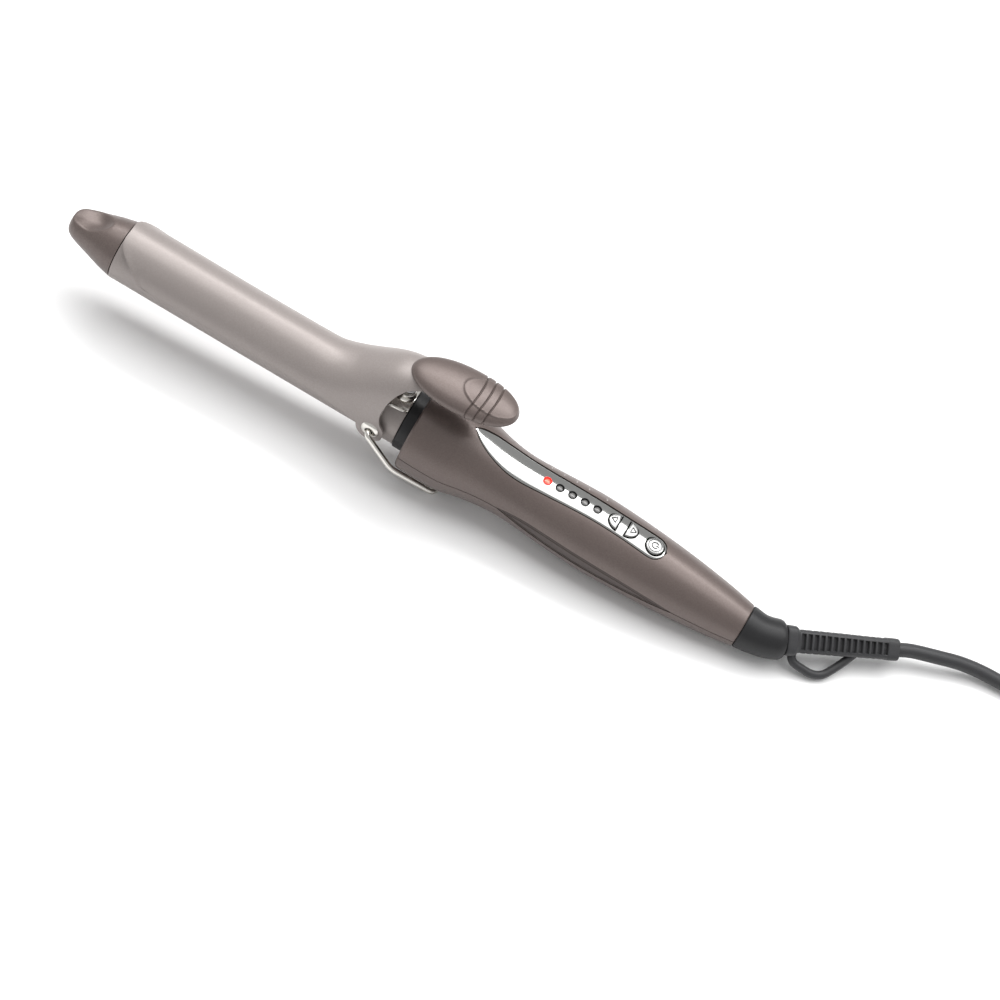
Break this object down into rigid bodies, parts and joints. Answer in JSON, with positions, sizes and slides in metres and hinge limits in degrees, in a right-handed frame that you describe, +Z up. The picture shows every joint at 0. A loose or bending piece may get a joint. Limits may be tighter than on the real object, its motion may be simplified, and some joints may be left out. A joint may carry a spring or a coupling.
{
  "type": "curling iron",
  "caption": "Hair curling iron with a sprung clip on a round heated barrel, a folding wire stand, a handle with push buttons and lights, and a swivelling mains cord.",
  "frame": {"origin": "on the table under the middle of the iron, without its cord", "axes": "+X runs along the iron from the tip to the cord, +Z is up from the table, +Y is across the iron, to the left when looking along +X"},
  "size_m": [0.668, 0.0714, 0.0632],
  "materials": {
    "barrel_coating": "satin taupe grey ceramic coating",
    "brown_plastic": "satin metallic brown",
    "inlay_brown": "satin dark brown",
    "chrome": "polished",
    "nickel_wire": "bright nickel",
    "steel": "plain",
    "black_plastic": "satin",
    "black_rubber": "matt",
    "lit_red": "lit lens",
    "lens_dark": "unlit smoked lens",
    "aluminium": "as cast",
    "ceramic": "white ceramic",
    "board_green": "solder mask",
    "wire_red": "insulation",
    "wire_blue": "insulation"
  },
  "bodies": {
    "iron": {"tip_cap": "brown_plastic", "barrel_tube": "barrel_coating", "collar_ring": "black_plastic", "heater_block_upper": "aluminium", "heater_block_lower": "aluminium", "heater_element": "ceramic", "thermistor": "ceramic", "thermal_fuse": "steel", "heater_lead_1": "wire_red", "heater_lead_2": "wire_blue", "sensor_lead": "wire_red", "clip_bracket": "chrome", "spring_seat": "chrome", "clip_spring": "steel", "pivot_rivet_left": "chrome", "pivot_rivet_right": "chrome", "handle_upper_shell": "brown_plastic", "handle_lower_shell": "brown_plastic", "handle_screw_1": "steel", "handle_screw_2": "steel", "side_inlay_left": "inlay_brown", "side_inlay_right": "inlay_brown", "control_panel": "chrome", "led_lens_1": "lit_red", "led_lens_2": "lens_dark", "led_lens_3": "lens_dark", "led_lens_4": "lens_dark", "led_lens_5": "lens_dark", "key_switch_1": "black_plastic", "key_switch_2": "black_plastic", "key_switch_3": "black_plastic", "circuit_board": "board_green", "end_cap": "black_plastic", "cord": "black_rubber", "cord_hank": "black_rubber", "hank_tie": "black_plastic", "cord_tail": "black_rubber", "plug_body": "black_plastic", "plug_pin_1": "steel", "plug_pin_2": "steel"},
    "clip": {"clip_plate": "barrel_coating", "thumb_lever": "brown_plastic", "lever_screw": "steel"},
    "stand": {"stand_wire": "nickel_wire"},
    "swivel": {"strain_relief": "black_rubber"},
    "down_key": {"button_down": "chrome"},
    "up_key": {"button_up": "chrome"},
    "power_key": {"button_power": "chrome"}
  },
  "joints": [
    {"name": "clip_hinge", "type": "hinge", "parent": "iron", "child": "clip", "pos_m": [-0.02029, 0, 0.02543], "axis": [0, 1, 0], "range_deg": [0, 18], "stiffness_Nm_per_rad": 0.35, "springref_deg": -25.78, "deforming": ["clip_spring"]},
    {"name": "stand_hinge", "type": "hinge", "parent": "iron", "child": "stand", "pos_m": [-0.02029, 0, 0.02543], "axis": [0, 1, 0], "range_deg": [0, 115]},
    {"name": "cord_swivel", "type": "hinge", "parent": "iron", "child": "swivel", "pos_m": [0.15597, 0, 0.00997], "axis": [0.8668, 0.497, -0.0416], "continuous": true},
    {"name": "down_key_press", "type": "slide", "parent": "iron", "child": "down_key", "axis": [-0.0479, 0, -0.9989], "range_m": [0, 0.0006], "stiffness_N_per_m": 300, "springref_m": -0.0006},
    {"name": "up_key_press", "type": "slide", "parent": "iron", "child": "up_key", "axis": [-0.0479, 0, -0.9989], "range_m": [0, 0.0006], "stiffness_N_per_m": 300, "springref_m": -0.0006},
    {"name": "power_key_press", "type": "slide", "parent": "iron", "child": "power_key", "axis": [-0.0479, 0, -0.9989], "range_m": [0, 0.0006], "stiffness_N_per_m": 300, "springref_m": -0.0006}
  ]
}
